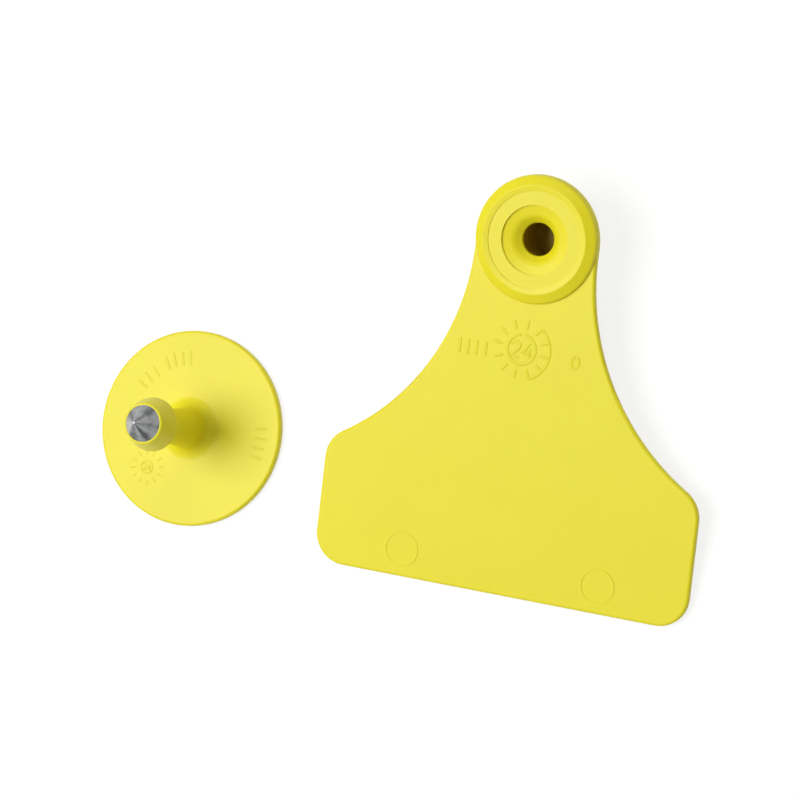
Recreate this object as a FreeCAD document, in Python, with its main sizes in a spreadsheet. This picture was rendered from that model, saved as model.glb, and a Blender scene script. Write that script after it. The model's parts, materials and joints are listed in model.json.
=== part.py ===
import FreeCAD, Part
import math
import os
import re

import Sketcher

# Two-piece livestock ear tag, apart and lying on a table: the female flag panel, whose
# collar has the bore and whose rear boss has the chamber for the stud's head, and the male
# button, whose hollow stud ends in a metal piercing tip.
#
# Millimetres. +X runs across the panel, +Y from its foot to its collar, +Z up from the table.
# The origin is the middle of the whole set's footprint, on the table.

# Every driving size: its name, its value and what it is.
SIZES = (
    ("panel_thick", 1.2, "thickness of the flag panel"),
    ("neck_radius", 9.3, "outer radius of the panel's neck, about the bore"),
    ("waist_radius", 35.8, "radius of the hollow curve from neck to shoulder"),
    ("waist_drop", 1.62, "how far the waist curve's centre lies below the bore"),
    ("shoulder_half", 28.85, "half of the panel's width at the shoulders"),
    ("foot_half", 28.96, "half of the panel's width at the foot"),
    ("panel_drop", 52.05, "from the bore's axis to the panel's foot"),
    ("shoulder_round", 4.75, "radius of the two shoulder corners"),
    ("foot_round", 4.6, "radius of the two foot corners"),
    ("edge_round", 0.42, "rounding along the panel's front and back edges"),
    ("mark_radius", 2.62, "outer radius of the raised rings round the ejector-pin marks"),
    ("mark_width", 0.26, "width of those rings"),
    ("mark_height", 0.08, "height of those rings"),
    ("mark_offset", 15.21, "each ejector mark's distance from the centre line"),
    ("mark_rise", 4.08, "the ejector marks' centres above the panel's foot"),
    ("collar_radius", 9.24, "outer radius of the collar"),
    ("collar_rise", 1.25, "height of the collar's crest above the panel's front"),
    ("collar_wall", 0.45, "height of the collar's upright wall above the panel's front"),
    ("collar_round", 0.6, "rounding between that wall and the collar's sloping side"),
    ("crest_radius", 7.8, "radius of the collar's crest, where its sloping side ends"),
    ("crest_round", 0.22, "rounding of the crest"),
    ("rim_radius", 7.02, "inner radius of the collar's rim"),
    ("rim_fall", 0.12, "how far the rim slopes down from the crest towards the bore"),
    ("rim_drop", 0.12, "depth of the fine step inside the rim"),
    ("seat_radius", 5.02, "radius of the clear step round the dish"),
    ("seat_drop", 0.3, "depth of that step"),
    ("dish_radius", 3.45, "radius at which the dish turns down into the bore"),
    ("dish_fall", 0.4, "depth of the dish at that radius, below its edge"),
    ("dish_round", 1.2, "rounding of that turn"),
    ("bore_radius", 2.4, "radius of the bore that the stud is pressed through"),
    ("lip_top", 0.45, "top of the bore's wall, above the panel's back face"),
    ("lip_round", 0.3, "rounding of the bore's mouth"),
    ("lip_length", 0.6, "length of the bore's wall"),
    ("boss_height", 7.4, "height of the rear boss behind the panel"),
    ("boss_radius", 5.7, "radius of the boss at the panel"),
    ("boss_end_radius", 5.3, "radius of the boss at its closed end"),
    ("boss_root_round", 0.8, "fillet between boss and panel"),
    ("boss_rim_round", 0.8, "rounding round the boss's closed end"),
    ("head_room", 0.35, "gap round the stud's head in the chamber"),
    ("end_room", 0.15, "gap past the metal tip in the chamber"),
    ("disc_radius", 14.65, "radius of the button's disc"),
    ("disc_thick", 1.4, "thickness of the disc"),
    ("disc_round", 0.4, "rounding of the disc's edges"),
    ("root_radius", 3.1, "radius of the stud where it meets the disc"),
    ("foot_fillet", 2.0, "fillet between stud and disc"),
    ("stud_neck_radius", 2.2, "radius of the stud under its head"),
    ("stud_neck_round", 0.3, "fillet under the head"),
    ("stud_reach", 14.65, "height of the head's underside above the disc's back"),
    ("head_radius", 3.95, "largest radius of the head"),
    ("head_land", 0.45, "height of the head's straight edge"),
    ("head_height", 3.4, "height of the head"),
    ("head_top_radius", 2.98, "radius of the head where the metal begins"),
    ("head_round", 2.3, "rounding above the head's straight edge"),
    ("head_rim_round", 0.33, "rounding of the head's rim round the metal"),
    ("tip_radius", 2.7, "radius of the metal cone"),
    ("tip_length", 3.05, "height of the metal cone"),
    ("tip_seat", 0.3, "how deep the cone's foot sits in the head"),
    ("point_radius", 0.14, "radius of the small flat at the cone's point"),
    ("shank_radius", 1.95, "radius of the metal shank inside the head"),
    ("shank_length", 2.7, "length of that shank"),
    ("groove_radius", 1.6, "radius of the groove that keys the shank in the plastic"),
    ("groove_width", 0.9, "width of that groove"),
    ("groove_rise", 0.9, "the groove's height above the shank's end"),
    ("pin_radius", 1.2, "radius of the hole for the applicator's pin"),
    ("pin_depth", 3.0, "how deep that hole goes into the metal"),
    ("button_left", 52.0, "from the bore's axis to the button's axis, across"),
    ("button_down", 35.74, "from the bore's axis to the button's axis, towards the foot"),
)

# Heights of the collar and boss above the panel's back face, and of the button's pieces
# above the disc's back face.
CREST = "panel_thick + collar_rise"
SEAT_TOP = f"{CREST} - rim_fall - rim_drop"
DISH_EDGE = f"{SEAT_TOP} - seat_drop"
LIP_UNDER = "lip_top - lip_length"
CHAMBER_FLOOR = f"{LIP_UNDER} - head_height - tip_length - end_room"
HEAD_TOP = "stud_reach + head_height"
TIP_SEAT = f"{HEAD_TOP} - tip_seat"
SHANK_END = f"{TIP_SEAT} - shank_length"
GROOVE_FOOT = f"{SHANK_END} + groove_rise"
GROOVE_TOP = f"{GROOVE_FOOT} + groove_width"

# Sketcher's own numbers for a sketch's origin, its axes and an edge's points.
ORIGIN = (-1, 1)
ACROSS_AXIS, UP_AXIS = -1, -2
START, END, CENTRE = 1, 2, 3
NEAR = 1e-4


class Sheet:
    """The spreadsheet of driving sizes, and the binding of formulas to it."""

    def __init__(self, document):
        """Write each size into a cell of its own, with its name as the alias."""
        self.cells = document.addObject("Spreadsheet::Sheet", "sizes")
        self.names = [name for name, _, _ in SIZES]
        for row, (name, number, meaning) in enumerate(SIZES, start=1):
            self.cells.set(f"A{row}", meaning)
            self.cells.set(f"B{row}", str(number))
            self.cells.setAlias(f"B{row}", name)
        document.recompute()

    def bound(self, formula):
        """Return the formula with each size's name pointing into the sheet."""
        return re.sub(r"[a-z]+(?:_[a-z]+)*", lambda word: f"sizes.{word[0]}", formula)

    def value(self, formula):
        """Return what the formula comes to."""
        return float(self.cells.evalExpression(formula))


def origin_plane(body, role):
    """Return one of the body's own origin planes."""
    return next(plane for plane in body.Origin.OriginFeatures if plane.Role == role)


def new_sketch(body, label, role):
    """Add a sketch on one of the body's origin planes."""
    sketch = body.newObject("Sketcher::SketchObject", label)
    sketch.AttachmentSupport = [(origin_plane(body, role), "")]
    sketch.MapMode = "FlatFace"
    return sketch


def pin_down(sketch, sheet, kind, point, formula):
    """Fix a point's distance from the sketch's origin, along one axis, to a formula."""
    number = sketch.addConstraint(Sketcher.Constraint(kind, *ORIGIN, *point, sheet.value(formula)))
    sketch.setExpression(f"Constraints[{number}]", sheet.bound(formula))


def set_radius(sketch, sheet, edge, formula):
    """Fix the radius of an arc or circle to a formula."""
    number = sketch.addConstraint(Sketcher.Constraint("Radius", edge, sheet.value(formula)))
    sketch.setExpression(f"Constraints[{number}]", sheet.bound(formula))


def turned_profile(body, sheet, label, corners):
    """Draw a closed half section; each corner is a radius and a height, as formulas."""
    sketch = new_sketch(body, label, "XZ_Plane")
    points = [FreeCAD.Vector(sheet.value(out), sheet.value(up), 0) for out, up in corners]
    for number, point in enumerate(points):
        sketch.addGeometry(Part.LineSegment(point, points[(number + 1) % len(points)]))
    for number, (out, up) in enumerate(corners):
        before = (number - 1) % len(corners)
        sketch.addConstraint(Sketcher.Constraint("Coincident", before, END, number, START))
        if out == "0":
            sketch.addConstraint(Sketcher.Constraint("PointOnObject", number, START, UP_AXIS))
        else:
            pin_down(sketch, sheet, "DistanceX", (number, START), out)
        if up == "0":
            sketch.addConstraint(Sketcher.Constraint("PointOnObject", number, START, ACROSS_AXIS))
        else:
            pin_down(sketch, sheet, "DistanceY", (number, START), up)
    return sketch


def turn(body, sketch, kind, label):
    """Turn a half section once round the body's axis, to add or to cut."""
    feature = body.newObject(f"PartDesign::{kind}", label)
    feature.Profile = sketch
    feature.ReferenceAxis = (sketch, ["V_Axis"])
    feature.Angle = 360
    body.Document.recompute()
    return feature


def round_edges(body, sheet, label, formula, picks):
    """Round every edge of the body that the picks accept."""
    base = body.Tip
    names = [f"Edge{number}" for number, edge in enumerate(base.Shape.Edges, start=1) if picks(edge)]
    fillet = body.newObject("PartDesign::Fillet", label)
    fillet.Base = (base, names)
    fillet.setExpression("Radius", sheet.bound(formula))
    body.Document.recompute()
    return fillet


def ring_at(sheet, out, up):
    """Return a test for the circular edge at this radius and height."""
    radius = sheet.value(out)
    height = sheet.value(up)

    def picks(edge):
        """Say whether the edge is that circle."""
        if not isinstance(edge.Curve, Part.Circle):
            return False
        middle = edge.Curve.Center
        on_axis = math.hypot(middle.x, middle.y) < NEAR
        return on_axis and abs(edge.Curve.Radius - radius) < NEAR and abs(middle.z - height) < NEAR

    return picks


def round_rings(body, sheet, rounds):
    """Round circular edges one by one; each is a label, a radius, a height and a rounding."""
    for label, out, up, formula in rounds:
        round_edges(body, sheet, label, formula, ring_at(sheet, out, up))


def upright_edge(sheet, formula):
    """Return a test for the upright corner edges at this distance from the centre line."""
    across = sheet.value(formula)

    def picks(edge):
        """Say whether the edge is one of those corners."""
        first, last = edge.Vertexes[0].Point, edge.Vertexes[-1].Point
        upright = abs(first.x - last.x) < NEAR and abs(first.y - last.y) < NEAR
        return upright and first.distanceToPoint(last) > NEAR and abs(abs(first.x) - across) < NEAR

    return picks


def level_edge(edge):
    """Say whether the whole edge lies in one level plane."""
    return edge.BoundBox.ZLength < NEAR


def draw_outline(body, sheet):
    """Draw the panel's outline: round neck, hollow waist, shoulders, sides and foot."""
    sketch = new_sketch(body, "outline", "XY_Plane")
    neck, waist = sheet.value("neck_radius"), sheet.value("waist_radius")
    drop, foot = sheet.value("waist_drop"), sheet.value("panel_drop")
    half_shoulder, half_foot = sheet.value("shoulder_half"), sheet.value("foot_half")
    lean = math.asin(drop / (neck + waist))
    waist_out = (neck + waist) * math.cos(lean)
    shoulder = math.acos((waist_out - half_shoulder) / waist)
    shoulder_up = -drop - waist * math.sin(shoulder)
    up = FreeCAD.Vector(0, 0, 1)

    ring = Part.Circle(FreeCAD.Vector(0, 0, 0), up, neck)
    sketch.addGeometry(Part.ArcOfCircle(ring, -lean, math.pi + lean))
    right = Part.Circle(FreeCAD.Vector(waist_out, -drop, 0), up, waist)
    sketch.addGeometry(Part.ArcOfCircle(right, math.pi - lean, math.pi + shoulder))
    left = Part.Circle(FreeCAD.Vector(-waist_out, -drop, 0), up, waist)
    sketch.addGeometry(Part.ArcOfCircle(left, -shoulder, lean))
    corners = [FreeCAD.Vector(half_shoulder, shoulder_up, 0), FreeCAD.Vector(half_foot, -foot, 0),
               FreeCAD.Vector(-half_foot, -foot, 0), FreeCAD.Vector(-half_shoulder, shoulder_up, 0)]
    for first, last in zip(corners, corners[1:]):
        sketch.addGeometry(Part.LineSegment(first, last))

    neck_arc, right_waist, left_waist, right_side, foot_line, left_side = range(6)
    sketch.addConstraint([
        Sketcher.Constraint("Coincident", neck_arc, CENTRE, *ORIGIN),
        Sketcher.Constraint("Tangent", neck_arc, START, right_waist, START),
        Sketcher.Constraint("Tangent", neck_arc, END, left_waist, END),
        Sketcher.Constraint("Coincident", right_waist, END, right_side, START),
        Sketcher.Constraint("Coincident", right_side, END, foot_line, START),
        Sketcher.Constraint("Coincident", foot_line, END, left_side, START),
        Sketcher.Constraint("Coincident", left_side, END, left_waist, START),
    ])
    set_radius(sketch, sheet, neck_arc, "neck_radius")
    for arc in (right_waist, left_waist):
        set_radius(sketch, sheet, arc, "waist_radius")
        pin_down(sketch, sheet, "DistanceY", (arc, CENTRE), "-waist_drop")
    pin_down(sketch, sheet, "DistanceX", (right_side, START), "shoulder_half")
    pin_down(sketch, sheet, "DistanceX", (left_side, END), "-shoulder_half")
    for point, sign in (((foot_line, START), ""), ((foot_line, END), "-")):
        pin_down(sketch, sheet, "DistanceX", point, f"{sign}foot_half")
        pin_down(sketch, sheet, "DistanceY", point, "-panel_drop")
    return sketch


def draw_marks(body, sheet):
    """Draw the raised ring round each of the two ejector-pin marks, on the panel's front."""
    sketch = new_sketch(body, "ejector_rings", "XY_Plane")
    sketch.setExpression("AttachmentOffset.Base.z", sheet.bound("panel_thick"))
    up = FreeCAD.Vector(0, 0, 1)
    rise = "mark_rise - panel_drop"
    for across in ("mark_offset", "-mark_offset"):
        middle = FreeCAD.Vector(sheet.value(across), sheet.value(rise), 0)
        for radius in ("mark_radius", "mark_radius - mark_width"):
            number = sketch.addGeometry(Part.Circle(middle, up, sheet.value(radius)))
            set_radius(sketch, sheet, number, radius)
            pin_down(sketch, sheet, "DistanceX", (number, CENTRE), across)
            pin_down(sketch, sheet, "DistanceY", (number, CENTRE), rise)
    return sketch


def make_flag_panel(document, sheet):
    """Mould the female half: panel, collar and closed rear boss in one piece."""
    body = document.addObject("PartDesign::Body", "flag_panel")
    plate = body.newObject("PartDesign::Pad", "plate")
    plate.Profile = draw_outline(body, sheet)
    plate.setExpression("Length", sheet.bound("panel_thick"))
    document.recompute()
    round_edges(body, sheet, "shoulders", "shoulder_round", upright_edge(sheet, "shoulder_half"))
    round_edges(body, sheet, "foot_corners", "foot_round", upright_edge(sheet, "foot_half"))
    round_edges(body, sheet, "panel_edges", "edge_round", level_edge)

    marks = body.newObject("PartDesign::Pad", "ejector_marks")
    marks.Profile = draw_marks(body, sheet)
    marks.setExpression("Length", sheet.bound("mark_height"))
    document.recompute()

    collar = turned_profile(body, sheet, "collar_section", [
        ("0", "-boss_height"),
        ("boss_end_radius", "-boss_height"),
        ("boss_radius", "0"),
        ("boss_radius", "panel_thick / 2"),
        ("collar_radius", "panel_thick / 2"),
        ("collar_radius", "panel_thick + collar_wall"),
        ("crest_radius", CREST),
        ("rim_radius", f"{CREST} - rim_fall"),
        ("rim_radius", SEAT_TOP),
        ("0", SEAT_TOP),
    ])
    turn(body, collar, "Revolution", "collar_and_boss")
    round_rings(body, sheet, [
        ("collar_edge", "collar_radius", "panel_thick + collar_wall", "collar_round"),
        ("collar_crest", "crest_radius", CREST, "crest_round"),
        ("boss_root", "boss_radius", "0", "boss_root_round"),
        ("boss_rim", "boss_end_radius", "-boss_height", "boss_rim_round"),
    ])

    hollow = turned_profile(body, sheet, "hollow_section", [
        ("0", SEAT_TOP),
        ("seat_radius", SEAT_TOP),
        ("seat_radius", DISH_EDGE),
        ("dish_radius", f"{DISH_EDGE} - dish_fall"),
        ("bore_radius", "lip_top"),
        ("bore_radius", LIP_UNDER),
        ("head_radius + head_room", LIP_UNDER),
        ("head_radius + head_room", f"{LIP_UNDER} - head_land"),
        ("tip_radius + head_room", f"{LIP_UNDER} - head_height"),
        ("tip_radius + head_room", CHAMBER_FLOOR),
        ("0", CHAMBER_FLOOR),
    ])
    turn(body, hollow, "Groove", "dish_bore_and_chamber")
    round_rings(body, sheet, [
        ("dish_turn", "dish_radius", f"{DISH_EDGE} - dish_fall", "dish_round"),
        ("bore_mouth", "bore_radius", "lip_top", "lip_round"),
    ])
    return body


def make_button_stud(document, sheet):
    """Mould the male half: disc, tapered hollow stud and head in one piece."""
    body = document.addObject("PartDesign::Body", "button_stud")
    section = turned_profile(body, sheet, "stud_section", [
        ("pin_radius", "0"),
        ("disc_radius", "0"),
        ("disc_radius", "disc_thick"),
        ("root_radius", "disc_thick"),
        ("stud_neck_radius", "stud_reach"),
        ("head_radius", "stud_reach"),
        ("head_radius", "stud_reach + head_land"),
        ("head_top_radius", HEAD_TOP),
        ("tip_radius", HEAD_TOP),
        ("tip_radius", TIP_SEAT),
        ("shank_radius", TIP_SEAT),
        ("shank_radius", GROOVE_TOP),
        ("groove_radius", GROOVE_TOP),
        ("groove_radius", GROOVE_FOOT),
        ("shank_radius", GROOVE_FOOT),
        ("shank_radius", SHANK_END),
        ("pin_radius", SHANK_END),
    ])
    turn(body, section, "Revolution", "disc_and_stud")
    round_rings(body, sheet, [
        ("disc_back_edge", "disc_radius", "0", "disc_round"),
        ("disc_front_edge", "disc_radius", "disc_thick", "disc_round"),
        ("stud_foot", "root_radius", "disc_thick", "foot_fillet"),
        ("stud_neck", "stud_neck_radius", "stud_reach", "stud_neck_round"),
        ("head_shoulder", "head_radius", "stud_reach + head_land", "head_round"),
        ("head_rim", "head_top_radius", HEAD_TOP, "head_rim_round"),
    ])
    return body


def make_metal_tip(document, sheet):
    """Turn the piercing tip: a cone on a grooved shank, with a socket for the pin."""
    body = document.addObject("PartDesign::Body", "metal_tip")
    section = turned_profile(body, sheet, "tip_section", [
        ("pin_radius", SHANK_END),
        ("shank_radius", SHANK_END),
        ("shank_radius", GROOVE_FOOT),
        ("groove_radius", GROOVE_FOOT),
        ("groove_radius", GROOVE_TOP),
        ("shank_radius", GROOVE_TOP),
        ("shank_radius", TIP_SEAT),
        ("tip_radius", TIP_SEAT),
        ("tip_radius", HEAD_TOP),
        ("point_radius", f"{HEAD_TOP} + tip_length"),
        ("0", f"{HEAD_TOP} + tip_length"),
        ("0", f"{SHANK_END} + pin_depth"),
        ("pin_radius", f"{SHANK_END} + pin_depth"),
    ])
    turn(body, section, "Revolution", "cone_and_shank")
    return body


def lay_on_table(sheet, panel, button_pieces):
    """Rest the panel on its foot and its boss, and lay the button flat beside it."""
    size = sheet.value
    # The table is the common tangent of the foot's back rounding and the boss's rim.
    draft = math.atan(size("boss_radius - boss_end_radius") / size("boss_height"))
    rim_inset = size("boss_rim_round") * math.tan((math.pi / 2 - draft) / 2)
    foot_along = size("edge_round - panel_drop")
    boss_along = rim_inset - size("boss_end_radius")
    boss_up = size("boss_rim_round - boss_height")
    run = boss_along - foot_along
    fall = size("edge_round") - boss_up
    tilt = math.atan(fall / run) + math.asin(size("boss_rim_round - edge_round") / math.hypot(run, fall))
    cosine, sine = math.cos(tilt), math.sin(tilt)
    lift = size("edge_round") - foot_along * sine - size("edge_round") * cosine

    front = foot_along * cosine - size("panel_thick - edge_round") * sine - size("edge_round")
    back = size("neck_radius - edge_round") * cosine + size("edge_round") * (1 - sine)
    middle_x = size("foot_half - button_left - disc_radius") / 2
    middle_y = (front + back) / 2

    turned = FreeCAD.Rotation(FreeCAD.Vector(1, 0, 0), math.degrees(tilt))
    panel.Placement = FreeCAD.Placement(FreeCAD.Vector(-middle_x, -middle_y, lift), turned)
    button_place = FreeCAD.Vector(-size("button_left") - middle_x, -size("button_down") - middle_y, 0)
    for piece in button_pieces:
        piece.Placement = FreeCAD.Placement(button_place, FreeCAD.Rotation())
    print(f"tilt {math.degrees(tilt):.4f} lift {lift:.4f} middle {middle_x:.4f} {middle_y:.4f}")


def check_model(document, bodies):
    """Stop if an object failed, a shape is unsound, or a cut removed nothing."""
    for item in document.Objects:
        if "Invalid" in item.State or "Error" in item.State:
            raise RuntimeError(f"{item.Label} did not compute: {item.State}")
        if item.isDerivedFrom("Sketcher::SketchObject") and item.solve() != 0:
            raise RuntimeError(f"{item.Label} does not solve")
        if item.TypeId == "PartDesign::Groove" and item.Shape.Volume >= item.BaseFeature.Shape.Volume:
            raise RuntimeError(f"{item.Label} cuts nothing")
    for body in bodies:
        if body.Shape.isNull() or not body.Shape.isValid() or len(body.Shape.Solids) != 1:
            raise RuntimeError(f"{body.Label} is not one sound solid")


def main():
    """Build the ear tag's pieces, lay them out and write one STEP file for each."""
    document = FreeCAD.newDocument("ear_tag")
    sheet = Sheet(document)
    panel = make_flag_panel(document, sheet)
    stud = make_button_stud(document, sheet)
    tip = make_metal_tip(document, sheet)
    lay_on_table(sheet, panel, (stud, tip))
    document.recompute()
    bodies = (panel, stud, tip)
    check_model(document, bodies)

    os.makedirs("parts", exist_ok=True)
    for body in bodies:
        body.Shape.exportStep(f"parts/{body.Label}.step")
        box = body.Shape.optimalBoundingBox()
        print(f"{body.Label}: {body.Shape.Volume:.2f} mm3, {box}")


main()
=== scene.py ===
"""Looks of a two-piece livestock ear tag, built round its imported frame.

The frame holds three nodes: the flag panel with its collar, the button with its hollow
stud, and the metal tip. This script dresses them, adds the fine moulded relief that lies on
their faces, and sets up the floor, the light and the camera.
"""

import json
import logging
import math
from dataclasses import dataclass
from enum import Enum
from typing import Sequence

import bmesh
import bpy
import numpy as np
from mathutils import Matrix, Vector


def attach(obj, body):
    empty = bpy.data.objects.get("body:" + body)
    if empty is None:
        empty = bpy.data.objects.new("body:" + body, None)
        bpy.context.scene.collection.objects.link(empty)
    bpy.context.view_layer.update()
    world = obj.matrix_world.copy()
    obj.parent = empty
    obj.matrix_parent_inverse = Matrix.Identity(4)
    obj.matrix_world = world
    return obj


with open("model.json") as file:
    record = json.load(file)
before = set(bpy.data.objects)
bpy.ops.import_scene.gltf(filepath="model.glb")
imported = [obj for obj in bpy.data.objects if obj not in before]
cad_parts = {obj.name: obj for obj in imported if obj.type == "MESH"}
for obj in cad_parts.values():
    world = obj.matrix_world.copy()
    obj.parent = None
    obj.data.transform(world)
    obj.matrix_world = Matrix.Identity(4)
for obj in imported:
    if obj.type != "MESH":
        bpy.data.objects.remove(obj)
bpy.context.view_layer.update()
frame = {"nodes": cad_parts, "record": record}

LOG = logging.getLogger("ear_tag")
MM = 0.001
BODY = "root"

LOWER_HALF = -20 * MM  # the panel's lower half lies below this, counted along it from the bore
FRONT_SHARE = 0.5      # points over this share of the greatest height belong to the front face
RIM_SHARE = 0.8        # points past this share of the button's radius are the disc's flat part
WELD_DISTANCE = 1e-7   # metres
DIGIT_HEIGHT = 1.6     # a digit's height, where its width is 1
RING_SWEEP = 350       # degrees; a ring is one stroke whose two round ends nearly meet
END_POINTS = 5         # rows of points that shape a bead's round end

Colour = tuple[float, float, float]
Pair = tuple[float, float]
Path = np.ndarray


class Slot(Enum):
    """The record's material slots that a relief names; the relief doesn't read them."""

    FLAG = "flag_plastic"
    BUTTON = "button_plastic"


class Way(Enum):
    """The side of a node group that a socket is on."""

    IN = "INPUT"
    OUT = "OUTPUT"


class Kind(Enum):
    """What a node group's socket carries."""

    NUMBER = "NodeSocketFloat"
    VECTOR = "NodeSocketVector"


# --------------------------------------------------------------------------- local frames


@dataclass(frozen=True)
class FaceFrame:
    """A flat face of the tag, with axes of its own, in metres.

    Attributes:
        origin: the point on the face that its own coordinates count from.
        across: unit vector of its first coordinate.
        along: unit vector of its second coordinate.
        outward: unit vector that leaves the face.
    """

    origin: Vector
    across: Vector
    along: Vector
    outward: Vector

    def place(self, points: np.ndarray) -> np.ndarray:
        """Turn the face's own millimetres into metres of the shared frame.

        Args:
            points: an array whose last axis holds across, along and outward.

        Returns:
            An array of the same shape, origin + across u + along v + outward h.
        """
        axes = np.array([self.across, self.along, self.outward])
        return np.array(self.origin) + points @ axes * MM


def mount_named(name: str) -> tuple[Vector, Vector]:
    """Return a mount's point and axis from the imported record.

    Args:
        name: the mount's name.

    Returns:
        Its position in metres and its unit axis.
    """
    mount = next(item for item in frame["record"]["mounts"] if item["name"] == name)
    return Vector(mount["pos_m"]), Vector(mount["axis"]).normalized()


def node_points(name: str, origin: Vector) -> np.ndarray:
    """Return the points of a CAD node's mesh, counted from an origin.

    Args:
        name: the node's name.
        origin: the point that they count from.

    Returns:
        An array of points by 3, in metres.
    """
    mesh = frame["nodes"][name].data
    corners = np.empty(len(mesh.vertices) * 3)
    mesh.vertices.foreach_get("co", corners)
    return corners.reshape(-1, 3) - np.array(origin)


def front_of_panel() -> FaceFrame:
    """Return the frame of the flag panel's front face, with its origin on the bore's axis.

    The bore's axis is the panel's normal. The panel leans only about the X axis, so across is X
    and along is the normal crossed with it. The face's height is the median height of the
    points in the panel's lower half that are over half as high as the highest, because the
    highest are the tops of the raised rings.

    Returns:
        The face's frame.
    """
    point, normal = mount_named("collar_bore")
    across = Vector((1.0, 0.0, 0.0))
    along = normal.cross(across).normalized()
    local = node_points("flag_panel", point)
    height = local @ np.array(normal)
    lower = local @ np.array(along) < LOWER_HALF
    rise = np.median(height[lower & (height > FRONT_SHARE * height[lower].max())])
    return FaceFrame(point + normal * rise, across, along, normal)


def top_of_disc() -> FaceFrame:
    """Return the frame of the button's upper face, with its origin on the stud's axis.

    Returns:
        The face's frame; its height is that of the highest point near the disc's rim.
    """
    point, _ = mount_named("applicator_pin_bore")
    local = node_points("button_stud", Vector((point.x, point.y, 0.0)))
    out = np.hypot(local[:, 0], local[:, 1])
    rise = local[out > RIM_SHARE * out.max(), 2].max()
    origin = Vector((point.x, point.y, rise))
    return FaceFrame(origin, Vector((1, 0, 0)), Vector((0, 1, 0)), Vector((0, 0, 1)))


# --------------------------------------------------------------------------- mesh helpers


def smooth_object(
    name: str, vertices: np.ndarray, faces: list[list[int]], material: bpy.types.Material
) -> bpy.types.Object:
    """Make a smooth mesh object with its origin at the frame's origin.

    Args:
        name: the object's name.
        vertices: points in metres of the shared frame.
        faces: corner numbers of each face.
        material: its finish.

    Returns:
        The new object.
    """
    mesh = bpy.data.meshes.new(name)
    mesh.from_pydata(vertices.tolist(), [], faces)
    mesh.materials.append(material)
    mesh.polygons.foreach_set("use_smooth", np.ones(len(mesh.polygons), dtype=bool))
    mesh.update()
    thing = bpy.data.objects.new(name, mesh)
    bpy.context.scene.collection.objects.link(thing)
    return thing


def grid_faces(rows: int, columns: int, first: int = 0) -> np.ndarray:
    """Return the faces of a grid that closes on itself across its columns.

    Args:
        rows: points along the path.
        columns: points round the section.
        first: number of the grid's first vertex.

    Returns:
        An array of four corner numbers a face, facing out of a section that runs clockwise
        when it is seen along the path.
    """
    row, column = np.meshgrid(np.arange(rows - 1), np.arange(columns), indexing="ij")
    after = (column + 1) % columns
    here, there = row * columns, (row + 1) * columns
    corners = (here + column, here + after, there + after, there + column)
    return first + np.stack(corners, axis=-1).reshape(-1, 4)


def weld_mesh(piece: bpy.types.Object) -> None:
    """Merge the points that lie together at the beads' ends and turn every face outwards.

    Args:
        piece: the object whose mesh is welded.
    """
    work = bmesh.new()
    work.from_mesh(piece.data)
    bmesh.ops.remove_doubles(work, verts=work.verts, dist=WELD_DISTANCE)
    bmesh.ops.recalc_face_normals(work, faces=work.faces)
    work.to_mesh(piece.data)
    work.free()


# --------------------------------------------------------------------------- relief strokes


def line(start: Sequence[float], end: Sequence[float], steps: int = 6) -> Path:
    """Return evenly spaced points on a straight stroke: (1 - s) start + s end.

    Args:
        start: its first point.
        end: its last point.
        steps: how many points it has.

    Returns:
        The stroke's points.
    """
    share = np.linspace(0.0, 1.0, steps)[:, None]
    return (1 - share) * np.array(start, float) + share * np.array(end, float)


def arc(middle: Sequence[float], radii: Pair, start: float, sweep: float, steps: int = 24) -> Path:
    """Return points on an ellipse's arc: middle + (radius cos a, radius sin a).

    Args:
        middle: the ellipse's centre.
        radii: its two half axes.
        start: the first angle in degrees.
        sweep: how far the arc turns, in degrees.
        steps: how many points it has.

    Returns:
        The arc's points.
    """
    angle = np.radians(np.linspace(start, start + sweep, steps))
    ellipse = np.stack((radii[0] * np.cos(angle), radii[1] * np.sin(angle)), axis=-1)
    return np.array(middle, float) + ellipse


def spoke(middle: Sequence[float], bearing: float, inner: float, outer: float) -> Path:
    """Return points on a straight radial stroke.

    Args:
        middle: the point that the stroke points away from.
        bearing: its angle in degrees.
        inner: where it begins, from the middle.
        outer: where it ends.

    Returns:
        The stroke's points.
    """
    angle = math.radians(bearing)
    way = np.array((math.cos(angle), math.sin(angle)))
    return line(np.array(middle) + way * inner, np.array(middle) + way * outer)


def chain(first: Path, second: Path) -> Path:
    """Join two strokes that meet, with their common point once."""
    return np.concatenate((first, second[1:]))


def run_along(path: Path) -> np.ndarray:
    """Return how far each of a path's points is along it, as the sum of the steps before."""
    return np.concatenate(([0.0], np.cumsum(np.linalg.norm(np.diff(path, axis=0), axis=1))))


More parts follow.
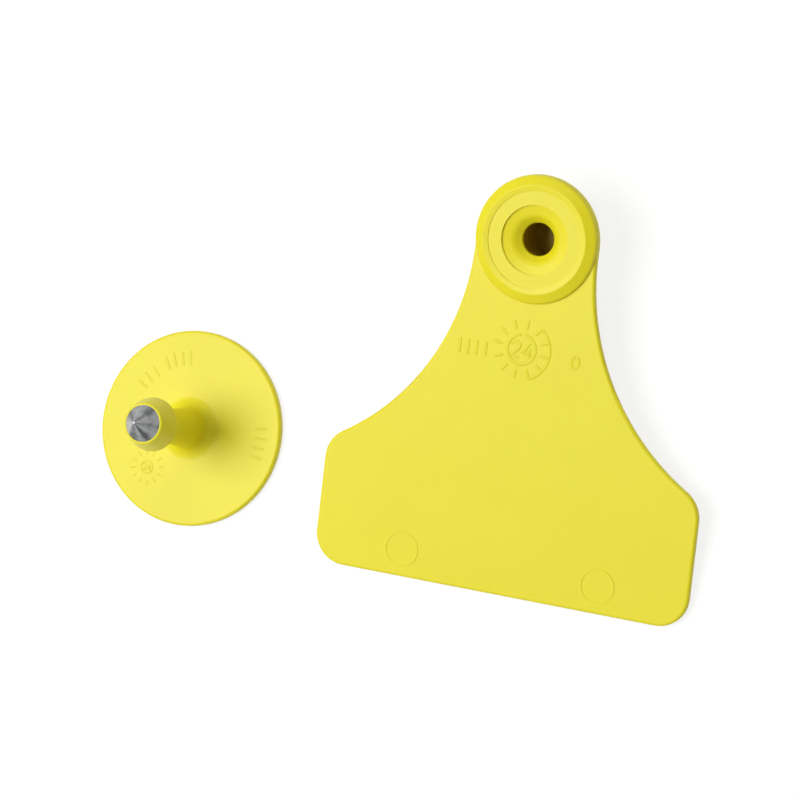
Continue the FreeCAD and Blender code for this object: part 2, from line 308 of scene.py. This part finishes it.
@dataclass(frozen=True)
class Bead:
    """The rounded bead that a round engraving cutter leaves on the moulding.

    Attributes:
        width: its width in millimetres.
        height: how far it stands out of the face, in millimetres.
        columns: points round its section.
    """

    width: float
    height: float
    columns: int = 10

    def densify(self, path: Path) -> Path:
        """Add points close to a path's two ends, for the bead's round ends.

        The points near an end lie at width / 2 (1 - cos a), where a quarter circle's do.

        Args:
            path: points on a face, in millimetres.

        Returns:
            The path with its extra points.
        """
        run = run_along(path)
        near_end = self.width / 2 * (1 - np.cos(np.linspace(0.0, np.pi / 2, END_POINTS)))
        wanted = np.unique(np.concatenate((near_end, run, run[-1] - near_end)))
        return np.stack([np.interp(wanted, run, path[:, axis]) for axis in (0, 1)], axis=-1)

    def surface(self, path: Path, face: FaceFrame) -> np.ndarray:
        """Carry the bead's section along a path on a face.

        The section is an ellipse, half of it sunk in the face: across its path it is
        width / 2 cos a, and outwards height sin a. Towards both ends the section shrinks as a
        quarter circle does, so the bead ends round and closed.

        Args:
            path: points on the face, in millimetres.
            face: the face that carries it.

        Returns:
            An array of rows by columns by 3, in metres.
        """
        step = np.gradient(path, axis=0)
        step /= np.linalg.norm(step, axis=1, keepdims=True)
        side = np.stack((-step[:, 1], step[:, 0]), axis=-1)
        run = run_along(path)
        from_end = np.minimum(run, run[-1] - run) / (self.width / 2)
        shrink = np.sqrt(1 - (1 - np.clip(from_end, 0.0, 1.0)) ** 2)[:, None]
        angle = np.linspace(0.0, 2 * np.pi, self.columns, endpoint=False)[None, :]
        sideways = shrink * self.width / 2 * np.cos(angle)
        outward = shrink * self.height * np.sin(angle)
        flat = path[:, None, :] + side[:, None, :] * sideways[:, :, None]
        return face.place(np.concatenate((flat, outward[:, :, None]), axis=-1))


@dataclass(frozen=True)
class Relief:
    """One piece of moulded relief: strokes raised as beads on a face.

    Attributes:
        name: the piece's name.
        slot: the record's slot for its finish; not used.
        bead: the section of its strokes.
        paths: its strokes, in the face's millimetres.
    """

    name: str
    slot: Slot
    bead: Bead
    paths: Sequence[Path]

    def build(self, face: FaceFrame, material: bpy.types.Material) -> None:
        """Raise the strokes as one piece that rides on the tag.

        Args:
            face: the face that carries them.
            material: their finish.
        """
        points, faces, first = [], [], 0
        for path in self.paths:
            surface = self.bead.surface(self.bead.densify(path), face)
            rows, columns, _ = surface.shape
            points.append(surface.reshape(-1, 3))
            faces.append(grid_faces(rows, columns, first))
            first += rows * columns
        piece = smooth_object(self.name, np.concatenate(points), np.concatenate(faces).tolist(), material)
        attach(piece, BODY)
        weld_mesh(piece)
        LOG.info("%s: %d strokes", self.name, len(self.paths))


# --------------------------------------------------------------------------- digits


def digit(number: int) -> list[Path]:
    """Return a digit's strokes in a box one wide and DIGIT_HEIGHT high, standing on y = 0.

    Args:
        number: 2 or 4, the digits that the dials show.

    Returns:
        The strokes.
    """
    bow = arc((0.5, 1.15), (0.45, 0.45), 170, -200)
    slope = line((0.75, DIGIT_HEIGHT), (0.0, 0.45))
    crossbar = line((0.0, 0.45), (1.02, 0.45))
    shapes = {
        2: [chain(bow, line(bow[-1], (0.05, 0.0))), line((0.05, 0.0), (0.98, 0.0))],
        4: [chain(slope, crossbar), line((0.75, 1.0), (0.75, 0.0))],
    }
    return shapes[number]


def write_digits(numbers: Sequence[int], middle: Pair, height: float, gap: float) -> list[Path]:
    """Return the strokes of a short row of digits centred on a point.

    Args:
        numbers: the digits.
        middle: the row's centre, in millimetres.
        height: the digits' height.
        gap: space between two digits.

    Returns:
        The strokes, in millimetres.
    """
    scale = height / DIGIT_HEIGHT
    pitch = scale + gap
    left = middle[0] - (pitch * len(numbers) - gap) / 2
    strokes = []
    for place, number in enumerate(numbers):
        corner = np.array((left + pitch * place, middle[1] - height / 2))
        strokes += [corner + stroke * scale for stroke in digit(number)]
    return strokes


# --------------------------------------------------------------------------- shader helpers


def new_socket(
    group: bpy.types.NodeTree, name: str, way: Way, kind: Kind, value: float | None = None
) -> None:
    """Add a socket to a node group.

    Args:
        group: the node group.
        name: the socket's name.
        way: the side that it is on.
        kind: what it carries.
        value: its starting value.
    """
    socket = group.interface.new_socket(name=name, in_out=way.value, socket_type=kind.value)
    if value is not None:
        socket.default_value = value


@dataclass(frozen=True)
class NodeBench:
    """Places and joins nodes in one tree.

    Attributes:
        tree: the material's or group's nodes.
    """

    tree: bpy.types.NodeTree

    def add(self, kind: str, **settings: object) -> bpy.types.Node:
        """Add a node and set its properties.

        Args:
            kind: the node's type without its ShaderNode prefix.
            settings: property names and values.

        Returns:
            The node.
        """
        node = self.tree.nodes.new(kind if kind.startswith("Node") else f"ShaderNode{kind}")
        for name, value in settings.items():
            setattr(node, name, value)
        return node

    def join(self, source: bpy.types.NodeSocket, target: bpy.types.NodeSocket) -> None:
        """Link one socket to another."""
        self.tree.links.new(source, target)

    def feed(self, target: bpy.types.NodeSocket, item: bpy.types.NodeSocket | float) -> None:
        """Give an input a number of its own or another node's output.

        Args:
            target: the input.
            item: the number or the output.
        """
        if isinstance(item, (int, float)):
            target.default_value = item
        else:
            self.join(item, target)

    def noise(
        self, where: bpy.types.NodeSocket, scale: bpy.types.NodeSocket | float, detail: float
    ) -> bpy.types.NodeSocket:
        """Add a noise pattern.

        Args:
            where: the coordinates that it reads.
            scale: its size, in patterns a metre.
            detail: its octaves.

        Returns:
            The noise's value.
        """
        node = self.add("TexNoise")
        self.feed(node.inputs["Scale"], scale)
        self.feed(node.inputs["Detail"], detail)
        self.join(where, node.inputs["Vector"])
        return node.outputs[0]

    def maths(
        self, how: str, first: bpy.types.NodeSocket | float, second: bpy.types.NodeSocket | float
    ) -> bpy.types.NodeSocket:
        """Add a Math node on two sockets or numbers.

        Args:
            how: the node's operation.
            first: its first input.
            second: its second input.

        Returns:
            The node's value.
        """
        node = self.add("Math", operation=how)
        self.feed(node.inputs[0], first)
        self.feed(node.inputs[1], second)
        return node.outputs[0]

    def bump(self, height: bpy.types.NodeSocket, strength: float, depth: float) -> bpy.types.NodeSocket:
        """Add a Bump node.

        Args:
            height: the pattern that lifts the surface.
            strength: how strongly it does.
            depth: the height that the pattern's 1 stands for, in millimetres.

        Returns:
            The bumped normal.
        """
        node = self.add("Bump")
        self.feed(node.inputs["Strength"], strength)
        self.feed(node.inputs["Distance"], depth * MM)
        self.join(height, node.inputs["Height"])
        return node.outputs["Normal"]


def new_finish(name: str) -> tuple[bpy.types.Material, NodeBench, bpy.types.Node]:
    """Make a material with nodes.

    Args:
        name: the material's name.

    Returns:
        The material, a bench for its nodes, and its Principled BSDF.
    """
    material = bpy.data.materials.new(name)
    material.use_nodes = True
    return material, NodeBench(material.node_tree), material.node_tree.nodes["Principled BSDF"]


def moulded_skin_group() -> bpy.types.NodeTree:
    """Build the group for the skin of a moulding.

    Its height is a fine satin grain plus a slow flow undulation, and its tone drifts a little
    from place to place, as thickness and flow do in a soft plastic. The roughness spreads a
    little about Gloss with the grain.

    Returns:
        The node group, with Vector, Grain Scale, Flow Scale, Flow Share and Gloss in, and
        Height, Tone and Roughness out.
    """
    grain_detail, flow_detail = 4.0, 1.5
    grain_share, gloss_spread = 0.04, 0.12
    group = bpy.data.node_groups.new("moulded_skin", "ShaderNodeTree")
    new_socket(group, "Vector", Way.IN, Kind.VECTOR)
    settings = {"Grain Scale": 5000.0, "Flow Scale": 90.0, "Flow Share": 0.8, "Gloss": 0.4}
    for name, value in settings.items():
        new_socket(group, name, Way.IN, Kind.NUMBER, value)
    for name in ("Height", "Tone", "Roughness"):
        new_socket(group, name, Way.OUT, Kind.NUMBER)
    bench = NodeBench(group)
    enter = bench.add("NodeGroupInput").outputs
    leave = bench.add("NodeGroupOutput").inputs
    fine = bench.noise(enter["Vector"], enter["Grain Scale"], grain_detail)
    slow = bench.noise(enter["Vector"], enter["Flow Scale"], flow_detail)
    flow = bench.maths("MULTIPLY", slow, enter["Flow Share"])
    grain = bench.maths("MULTIPLY", fine, grain_share)
    bench.join(bench.maths("ADD", flow, grain), leave["Height"])
    bench.join(slow, leave["Tone"])
    spread = bench.maths("MULTIPLY", bench.maths("SUBTRACT", fine, 0.5), gloss_spread)
    bench.join(bench.maths("ADD", spread, enter["Gloss"]), leave["Roughness"])
    return group


@dataclass(frozen=True)
class DeepBore:
    """A round hole whose inside gets hardly any light, and whose plastic is darkened there as painted
    shade.

    Attributes:
        mouth: a point on the hole's axis, where its wall begins.
        axis: unit vector out of the hole.
        reach: radius round the axis that takes in the whole chamber, in metres.
    """

    mouth: Vector
    axis: Vector
    reach: float


def bore_shade_mask_group() -> bpy.types.NodeTree:
    """Build the group that masks the inside of a deep bore, where the colour is darkened as painted shade.

    Depth is the distance below the mouth along the axis, and the mask climbs from 0 at the
    mouth to 1 at the full depth. It is 0 farther from the axis than the reach, so that the
    outside of the boss isn't masked.

    Returns:
        The node group, with Vector, Mouth, Axis, Reach and Full Depth in, and Mask out.
    """
    group = bpy.data.node_groups.new("bore_shade_mask", "ShaderNodeTree")
    for name in ("Vector", "Mouth", "Axis"):
        new_socket(group, name, Way.IN, Kind.VECTOR)
    for name, value in (("Reach", 4.5 * MM), ("Full Depth", 0.6 * MM)):
        new_socket(group, name, Way.IN, Kind.NUMBER, value)
    new_socket(group, "Mask", Way.OUT, Kind.NUMBER)
    bench = NodeBench(group)
    enter = bench.add("NodeGroupInput").outputs
    leave = bench.add("NodeGroupOutput").inputs
    from_mouth = bench.add("VectorMath", operation="SUBTRACT")
    bench.join(enter["Vector"], from_mouth.inputs[0])
    bench.join(enter["Mouth"], from_mouth.inputs[1])
    height = bench.add("VectorMath", operation="DOT_PRODUCT")
    bench.join(from_mouth.outputs[0], height.inputs[0])
    bench.join(enter["Axis"], height.inputs[1])
    along = bench.add("VectorMath", operation="SCALE")
    bench.join(enter["Axis"], along.inputs[0])
    bench.join(height.outputs["Value"], along.inputs["Scale"])
    out = bench.add("VectorMath", operation="DISTANCE")
    bench.join(from_mouth.outputs[0], out.inputs[0])
    bench.join(along.outputs[0], out.inputs[1])
    near = bench.maths("LESS_THAN", out.outputs["Value"], enter["Reach"])
    sunk = bench.maths("MULTIPLY", height.outputs["Value"], -1.0)
    depth = bench.maths("DIVIDE", sunk, enter["Full Depth"])
    shallow = bench.maths("MINIMUM", bench.maths("MAXIMUM", depth, 0.0), 1.0)
    bench.join(bench.maths("MULTIPLY", near, shallow), leave["Mask"])
    return group


# --------------------------------------------------------------------------- finishes


@dataclass(frozen=True)
class MouldedPlastic:
    """Satin, slightly translucent soft plastic in one strong colour.

    Attributes:
        name: the material's name.
        light: colour where the moulding is thick or the flow is pale.
        deep: colour where it is a little denser.
        painted_bore_shade: painted shade: the dark colour that the plastic is given deep inside a bore,
            standing in for the shade there.
        gloss: mean roughness.
        relief: strength of the skin's bump.
        relief_depth: height that the bump stands for, in millimetres.
        glow: share of light that wanders under the skin.
        wander: how far red, green and blue light wander, against each other.
        wander_scale: how far they wander, in millimetres.
        shine: strength of the mirror reflection.
        bending: index of refraction.
    """

    name: str
    light: Colour
    deep: Colour
    # painted shade for the inside of a bore
    painted_bore_shade: Colour = (0.50, 0.36, 0.004)
    gloss: float = 0.42
    relief: float = 0.25
    relief_depth: float = 0.1
    glow: float = 0.10
    wander: Colour = (1.0, 0.8, 0.05)
    wander_scale: float = 0.8
    shine: float = 0.42
    bending: float = 1.48

    def build(self, skin: bpy.types.NodeTree, bore: DeepBore | None = None) -> bpy.types.Material:
        """Make the material.

        Args:
            skin: the moulded skin group.
            bore: the hole whose inside gets painted shade, if the piece has one.

        Returns:
            The material.
        """
        material, bench, shader = new_finish(self.name)
        place = bench.add("TexCoord")
        surface = bench.add("Group", node_tree=skin)
        surface.inputs["Gloss"].default_value = self.gloss
        bench.join(place.outputs["Object"], surface.inputs["Vector"])
        tone = bench.add("Mix", data_type="RGBA")
        tone.inputs["A"].default_value = (*self.light, 1.0)
        tone.inputs["B"].default_value = (*self.deep, 1.0)
        bench.join(surface.outputs["Tone"], tone.inputs["Factor"])
        colour = tone.outputs["Result"]
        # painted shade: the colour is darkened deep inside the bore
        if bore is not None:
            colour = self.paint_bore_shade(bench, place.outputs["Object"], colour, bore)
        bench.join(colour, shader.inputs["Base Color"])
        bench.join(surface.outputs["Roughness"], shader.inputs["Roughness"])
        normal = bench.bump(surface.outputs["Height"], self.relief, self.relief_depth)
        bench.join(normal, shader.inputs["Normal"])
        shader.inputs["Subsurface Weight"].default_value = self.glow
        shader.inputs["Specular IOR Level"].default_value = self.shine
        shader.inputs["Subsurface Radius"].default_value = self.wander
        shader.inputs["Subsurface Scale"].default_value = self.wander_scale * MM
        shader.inputs["IOR"].default_value = self.bending
        return material

    def paint_bore_shade(
        self, bench: NodeBench, where: bpy.types.NodeSocket, colour: bpy.types.NodeSocket, bore: DeepBore
    ) -> bpy.types.NodeSocket:
        """Darken a colour inside a bore, as painted shade.

        Args:
            bench: the material's nodes.
            where: the coordinates.
            colour: the colour to darken.
            bore: the hole.

        Returns:
            The darkened colour.
        """
        mask = bench.add("Group", node_tree=bore_shade_mask_group())
        mask.inputs["Mouth"].default_value = bore.mouth
        mask.inputs["Axis"].default_value = bore.axis
        mask.inputs["Reach"].default_value = bore.reach
        bench.join(where, mask.inputs["Vector"])
        # mix in the painted shade colour where the depth mask is on
        dark = bench.add("Mix", data_type="RGBA")
        dark.inputs["B"].default_value = (*self.painted_bore_shade, 1.0)
        bench.join(mask.outputs["Mask"], dark.inputs["Factor"])
        bench.join(colour, dark.inputs["A"])
        return dark.outputs["Result"]


@dataclass(frozen=True)
class TurnedMetal:
    """Dull grey metal, turned, with soft pale and dark wedges by bearing round its axis that are painted
    reflections.

    Attributes:
        name: the material's name.
        pale: the pale tone, which makes the painted reflection's pale wedges and the paler mottling of the
            blotches.
        dark: the dark tone, which makes the painted reflection's dark wedges and the darker mottling of the
            blotches.
        ramp: where the tone turns from dark to pale.
        wedge_turn: how far the wedges are turned round the axis, in degrees.
        wedge_scale: size of the wedges' noise.
        wedge_share: how much of the tone the wedges make; the blotches make the rest.
        blotch_scale: size of the blotches, in patterns a metre.
        ring_scale: size of the turning rings, in patterns a metre.
        ring_waver: how far the rings stray from round.
        ring_share: the rings' height against the blotches'.
        relief: strength of the bump.
        relief_depth: height that the bump stands for, in millimetres.
        gloss: lowest roughness.
        gloss_spread: how much the blotches add to it.
    """

    name: str
    pale: Colour
    dark: Colour
    ramp: Pair = (0.40, 0.62)
    wedge_turn: float = -45.0
    wedge_scale: float = 1.1
    wedge_share: float = 0.75
    blotch_scale: float = 900.0
    ring_scale: float = 1800.0
    ring_waver: float = 1.5
    ring_share: float = 0.3
    relief: float = 0.35
    relief_depth: float = 0.05
    gloss: float = 0.28
    gloss_spread: float = 0.2

    def build(self, axis: Vector) -> bpy.types.Material:
        """Make the material.

        Args:
            axis: a point on the upright axis that the rings and wedges go round.

        Returns:
            The material.
        """
        material, bench, shader = new_finish(self.name)
        place = bench.add("TexCoord")
        centre = bench.add("Mapping")
        centre.inputs["Location"].default_value = (-axis.x, -axis.y, 0.0)
        bench.join(place.outputs["Object"], centre.inputs["Vector"])
        where = centre.outputs["Vector"]
        # painted reflection: wedges pale and dark by bearing round the axis stand in for the lights seen in
        # the cone
        wedges = bench.noise(self.bearing(bench, where), self.wedge_scale, 1.0)
        blotch = bench.noise(where, self.blotch_scale, 3.0)
        share = bench.maths(
            "ADD",
            bench.maths("MULTIPLY", wedges, self.wedge_share),
            bench.maths("MULTIPLY", blotch, 1 - self.wedge_share),
        )
        tone = bench.add("ValToRGB")
        for stop, position, colour in zip(tone.color_ramp.elements, self.ramp, (self.dark, self.pale)):
            stop.position = position
            stop.color = (*colour, 1.0)
        bench.join(share, tone.inputs["Fac"])
        bench.join(tone.outputs["Color"], shader.inputs["Base Color"])
        rings = bench.add("TexWave", wave_type="RINGS", rings_direction="Z")
        rings.inputs["Scale"].default_value = self.ring_scale
        rings.inputs["Distortion"].default_value = self.ring_waver
        bench.join(where, rings.inputs["Vector"])
        height = bench.maths("ADD", bench.maths("MULTIPLY", rings.outputs[0], self.ring_share), blotch)
        bench.join(bench.bump(height, self.relief, self.relief_depth), shader.inputs["Normal"])
        rough = bench.maths("ADD", bench.maths("MULTIPLY", blotch, self.gloss_spread), self.gloss)
        bench.join(rough, shader.inputs["Roughness"])
        shader.inputs["Metallic"].default_value = 1.0
        return material

    def bearing(self, bench: NodeBench, where: bpy.types.NodeSocket) -> bpy.types.NodeSocket:
        """Return each point's direction from the axis, as a flat unit vector.

        Args:
            bench: the material's nodes.
            where: the coordinates, counted from the axis.

        Returns:
            The direction, turned by the wedges' own turn.
        """
        turned = bench.add("VectorRotate", rotation_type="Z_AXIS")
        turned.inputs["Angle"].default_value = math.radians(self.wedge_turn)
        bench.join(where, turned.inputs["Vector"])
        flat = bench.add("VectorMath", operation="MULTIPLY")
        flat.inputs[1].default_value = (1.0, 1.0, 0.0)
        bench.join(turned.outputs[0], flat.inputs[0])
        unit = bench.add("VectorMath", operation="NORMALIZE")
        bench.join(flat.outputs[0], unit.inputs[0])
        return unit.outputs[0]


def dress(name: str, material: bpy.types.Material) -> None:
    """Give a node of the frame its finish.

    Args:
        name: the node's name.
        material: its finish.
    """
    node = frame["nodes"][name]
    node.data.materials.clear()
    node.data.materials.append(material)
    LOG.info("%s wears %s", node.name, material.name)


# --------------------------------------------------------------------------- the tag


@dataclass(frozen=True)
class DateDial:
    """The small date dial that a mould insert leaves: a ring, a number and twelve cells.

    Attributes:
        middle: the dial's centre on its face, in millimetres.
        ring: radius of the ring.
        inner: where the radial ticks begin.
        outer: where they end.
        turn: angle of the first tick, in degrees.
        closed: the cells that an arc closes on the outside, counted from the first tick.
        number: the digits in the ring.
        cells: how many cells it has.
        number_height: height of the digits, as a share of the ring's radius.
        number_gap: space between the digits, as a share of the ring's radius.
    """

    middle: Pair
    ring: float
    inner: float
    outer: float
    turn: float
    closed: tuple[int, ...] = ()
    number: tuple[int, ...] = (2, 4)
    cells: int = 12
    number_height: float = 1.05
    number_gap: float = 0.18

    def strokes(self) -> list[Path]:
        """Lay out the dial: ring, digits, ticks, and arcs that close some cells.

        Returns:
            The dial's strokes.
        """
        ring = arc(self.middle, (self.ring, self.ring), 95, RING_SWEEP, 48)
        height, gap = self.ring * self.number_height, self.ring * self.number_gap
        strokes = [ring, *write_digits(self.number, self.middle, height, gap)]
        pitch = 360 / self.cells
        for cell in range(self.cells):
            start = self.turn + pitch * cell
            strokes.append(spoke(self.middle, start, self.inner, self.outer))
            if cell in self.closed:
                strokes.append(arc(self.middle, (self.outer, self.outer), start, pitch, 10))
        return strokes


@dataclass(frozen=True)
class BarFan:
    """A fan of short radial bars on the disc.

    Attributes:
        bearing: direction of the fan's middle from the stud, in degrees.
        count: how many bars it has.
        pitch: angle between two bars, in degrees.
        inner: where the bars begin, from the stud's axis, in millimetres.
        outer: where they end.
    """

    bearing: float
    count: int
    pitch: float
    inner: float
    outer: float

    def strokes(self) -> list[Path]:
        """Spread the bars evenly about the fan's bearing.

        Returns:
            The bars' strokes.
        """
        half = (self.count - 1) / 2
        bearings = [self.bearing + self.pitch * (number - half) for number in range(self.count)]
        return [spoke((0, 0), bearing, self.inner, self.outer) for bearing in bearings]


@dataclass(frozen=True)
class FlagPanel:
    """The female half: its finish and the fine relief on its front face.

    Attributes:
        skin: the moulded skin group.
        finish: its plastic.
        bead: section of the relief's strokes.
        dial: the date dial under the collar.
        bar_places: where the bars beside the dial stand, across the face, in millimetres.
        bar_ends: where they begin and end, along the face.
        oval_middle: centre of the small oval mark on the dial's other side.
        oval_radii: its half axes.
        bore_lip: how far over its mount the bore's wall begins, and with it the painted shade, in
            millimetres.
        chamber_reach: radius round the bore's axis that takes in the chamber, and so the painted shade.
    """

    skin: bpy.types.NodeTree
    finish: MouldedPlastic
    bead: Bead = Bead(0.42, 0.06)
    dial: DateDial = DateDial((-0.34, -15.94), 2.15, 2.95, 4.35, turn=-9, closed=(0, 1, 10, 11))
    bar_places: tuple[float, ...] = (-9.75, -8.45, -7.15, -5.75)
    bar_ends: Pair = (-17.85, -15.65)
    oval_middle: Pair = (7.95, -16.6)
    oval_radii: Pair = (0.55, 0.85)
    bore_lip: float = 0.35
    chamber_reach: float = 4.7

    def build(self) -> None:
        """Dress the panel's node and raise the dial and the marks beside it."""
        point, axis = mount_named("collar_bore")
        # the bore whose inside the plastic's colour darkens as painted shade
        bore = DeepBore(point + axis * self.bore_lip * MM, axis, self.chamber_reach * MM)
        material = self.finish.build(self.skin, bore)
        dress("flag_panel", material)
        face = front_of_panel()
        Relief("date_dial", Slot.FLAG, self.bead, self.dial.strokes()).build(face, material)
        low, high = self.bar_ends
        bars = [line((across, low), (across, high)) for across in self.bar_places]
        oval = arc(self.oval_middle, self.oval_radii, 90, RING_SWEEP, 28)
        Relief("mould_bars", Slot.FLAG, self.bead, [*bars, oval]).build(face, material)


@dataclass(frozen=True)
class Button:
    """The male half: disc and stud in plastic, tip in metal.

    Attributes:
        skin: the moulded skin group.
        finish: the plastic of the disc and stud.
        metal: the metal of the tip.
        dial_bead: section of the dial's strokes.
        bar_bead: section of the bars.
        dial: the small date dial on the disc.
        fans: the groups of bars round the stud.
    """

    skin: bpy.types.NodeTree
    finish: MouldedPlastic
    metal: TurnedMetal
    dial_bead: Bead = Bead(0.20, 0.035)
    bar_bead: Bead = Bead(0.30, 0.03)
    dial: DateDial = DateDial((-5.9, -6.93), 0.95, 1.9, 2.75, turn=10)
    fans: tuple[BarFan, ...] = (
        BarFan(110, 4, 7, 9.4, 11.6),
        BarFan(141, 3, 8, 9.3, 11.3),
        BarFan(-2, 4, 7, 10.6, 12.6),
    )

    def build(self) -> None:
        """Dress the button's two nodes and raise the marks on its disc."""
        point, _ = mount_named("applicator_pin_bore")
        material = self.finish.build(self.skin)
        dress("button_stud", material)
        dress("metal_tip", self.metal.build(point))
        face = top_of_disc()
        Relief("disc_dial", Slot.BUTTON, self.dial_bead, self.dial.strokes()).build(face, material)
        bars = [stroke for fan in self.fans for stroke in fan.strokes()]
        Relief("disc_bars", Slot.BUTTON, self.bar_bead, bars).build(face, material)


# --------------------------------------------------------------------------- studio


@dataclass(frozen=True)
class FloorBowl:
    """A plain pale floor that curves up into a low wall all round.

    Attributes:
        hole: radius of the small face that closes its middle, in metres.
        flat_rings: radii of the rings of points on the flat floor.
        flat: radius of the flat floor.
        bend: radius of the curve between the floor and the wall.
        wall: height of the wall.
        bend_rings: rings of points on the curve.
        columns: points round the bowl.
        colour: its colour.
        dullness: its roughness.
        shine: strength of its mirror reflection.
        glow: how brightly it shines of itself where the camera or a reflection sees it.
        glow_share: how much of what is seen there is that glow.
    """

    hole: float = 0.02
    flat_rings: Pair = (0.4, 0.9)
    flat: float = 1.6
    bend: float = 0.8
    wall: float = 2.6
    bend_rings: int = 13
    columns: int = 96
    colour: Colour = (0.86, 0.86, 0.86)
    dullness: float = 0.9
    shine: float = 0.1
    glow: float = 1.10
    glow_share: float = 0.75

    def build(self) -> None:
        """Lay the bowl, a surface of revolution.

        Its profile is flat out to the floor's radius, then a quarter circle, then an upright
        wall. One face closes its middle.
        """
        turn = np.linspace(0.0, np.pi / 2, self.bend_rings)
        rim = self.flat + self.bend
        out = np.concatenate(([self.hole, *self.flat_rings], self.flat + self.bend * np.sin(turn), [rim]))
        up = np.concatenate(([0.0, 0.0, 0.0], self.bend * (1 - np.cos(turn)), [self.wall]))
        angle = np.linspace(0.0, 2 * np.pi, self.columns, endpoint=False)[None, :]
        rings = np.stack(
            (out[:, None] * np.cos(angle), out[:, None] * np.sin(angle), up[:, None] + 0 * angle), axis=-1
        )
        faces = grid_faces(len(out), self.columns)[:, ::-1].tolist() + [list(range(self.columns))]
        floor = smooth_object("floor", rings.reshape(-1, 3), faces, self.finish())

    def finish(self) -> bpy.types.Material:
        """Make the floor's material, which keeps shadows but shows white to eye and mirror.

        Returns:
            The material.
        """
        material, bench, shader = new_finish("pale_floor")
        shader.inputs["Base Color"].default_value = (*self.colour, 1.0)
        shader.inputs["Roughness"].default_value = self.dullness
        shader.inputs["Specular IOR Level"].default_value = self.shine
        glow = bench.add("Emission")
        glow.inputs["Strength"].default_value = self.glow
        ray = bench.add("LightPath")
        seen = bench.maths("MAXIMUM", ray.outputs["Is Camera Ray"], ray.outputs["Is Glossy Ray"])
        seen = bench.maths("MAXIMUM", seen, ray.outputs["Is Transmission Ray"])
        mix = bench.add("MixShader")
        bench.join(bench.maths("MULTIPLY", seen, self.glow_share), mix.inputs[0])
        bench.join(shader.outputs[0], mix.inputs[1])
        bench.join(glow.outputs[0], mix.inputs[2])
        bench.join(mix.outputs[0], material.node_tree.nodes["Material Output"].inputs["Surface"])
        return material


@dataclass(frozen=True)
class Softbox:
    """A square area light that faces the tag.

    Attributes:
        name: the light's name.
        place: where it hangs, in metres.
        size: its side, in metres.
        power: its power, in watts.
    """

    name: str
    place: tuple[float, float, float]
    size: float
    power: float

    def build(self) -> None:
        """Hang the light."""
        place = Vector(self.place)
        data = bpy.data.lights.new(self.name, "AREA")
        data.size = self.size
        data.energy = self.power
        light = bpy.data.objects.new(self.name, data)
        light.matrix_world = Matrix.Translation(place) @ place.to_track_quat("Z", "Y").to_matrix().to_4x4()
        bpy.context.scene.collection.objects.link(light)


@dataclass(frozen=True)
class Viewpoint:
    """The camera.

    Attributes:
        aim: the point on the table that it looks at, in metres.
        bearing: its direction round the tag, in degrees from +X.
        height_angle: how high it stands, in degrees.
        distance: from the aim to the camera, in metres.
        roll: how far it is turned about its line of sight, in degrees.
        lens: focal length in millimetres.
        sensor: width of the sensor in millimetres.
        nearest: distance from which it sees, in metres.
    """

    aim: tuple[float, float, float] = (-0.00115, -0.004956, 0.0)
    bearing: float = 2.065
    height_angle: float = 68.926
    distance: float = 0.51465
    roll: float = -82.27
    lens: float = 157.5
    sensor: float = 36.0
    nearest: float = 0.01

    def build(self) -> None:
        """Stand the camera at its place and aim it."""
        bearing, up_angle = math.radians(self.bearing), math.radians(self.height_angle)
        flat = math.cos(up_angle)
        back = Vector((flat * math.cos(bearing), flat * math.sin(bearing), math.sin(up_angle)))
        turned = back.to_track_quat("Z", "Y").to_matrix() @ Matrix.Rotation(math.radians(self.roll), 3, "Z")
        data = bpy.data.cameras.new("camera")
        data.lens = self.lens
        data.sensor_width = self.sensor
        data.clip_start = self.nearest
        camera = bpy.data.objects.new("camera", data)
        camera.matrix_world = Matrix.Translation(Vector(self.aim) + back * self.distance) @ turned.to_4x4()
        bpy.context.scene.collection.objects.link(camera)
        bpy.context.scene.camera = camera


@dataclass(frozen=True)
class Studio:
    """Floor, lights, world and camera.

    Attributes:
        floor: the floor and wall.
        lights: a soft key light and two weak fills.
        room_light: strength of the weak even light from all round.
        viewpoint: the camera.
    """

    floor: FloorBowl = FloorBowl()
    lights: tuple[Softbox, ...] = (
        Softbox("key", (-0.30, -0.02, 0.73), 0.45, 4.55),
        Softbox("fill", (0.05, 0.62, 0.60), 0.50, 0.9),
        Softbox("low_fill", (-0.10, -0.62, 0.55), 0.50, 0.6),
    )
    room_light: float = 0.22
    viewpoint: Viewpoint = Viewpoint()

    def build(self) -> None:
        """Set up everything that isn't the tag."""
        self.floor.build()
        for light in self.lights:
            light.build()
        self.world()
        self.viewpoint.build()
        bpy.context.scene.view_settings.view_transform = "Standard"
        LOG.info("studio: %d lights", len(self.lights))

    def world(self) -> None:
        """Fill the room with weak even light."""
        world = bpy.data.worlds.new("room")
        bpy.context.scene.world = world
        world.use_nodes = True
        shade = world.node_tree.nodes["Background"]
        shade.inputs["Color"].default_value = (1.0, 1.0, 1.0, 1.0)
        shade.inputs["Strength"].default_value = self.room_light


def main() -> None:
    """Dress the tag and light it."""
    logging.basicConfig(level=logging.INFO, format="%(message)s")
    skin = moulded_skin_group()
    panel_plastic = MouldedPlastic("yellow_plastic", (0.89, 0.79, 0.014), (0.85, 0.75, 0.011))
    button_plastic = MouldedPlastic("button_yellow_plastic", panel_plastic.light, panel_plastic.deep)
    # the metal's two tones make its painted reflection wedges and its mottling
    metal = TurnedMetal("dull_turned_metal", (0.50, 0.51, 0.51), (0.10, 0.105, 0.11))
    FlagPanel(skin, panel_plastic).build()
    Button(skin, button_plastic, metal).build()
    Studio().build()


if __name__ == "__main__":
    main()
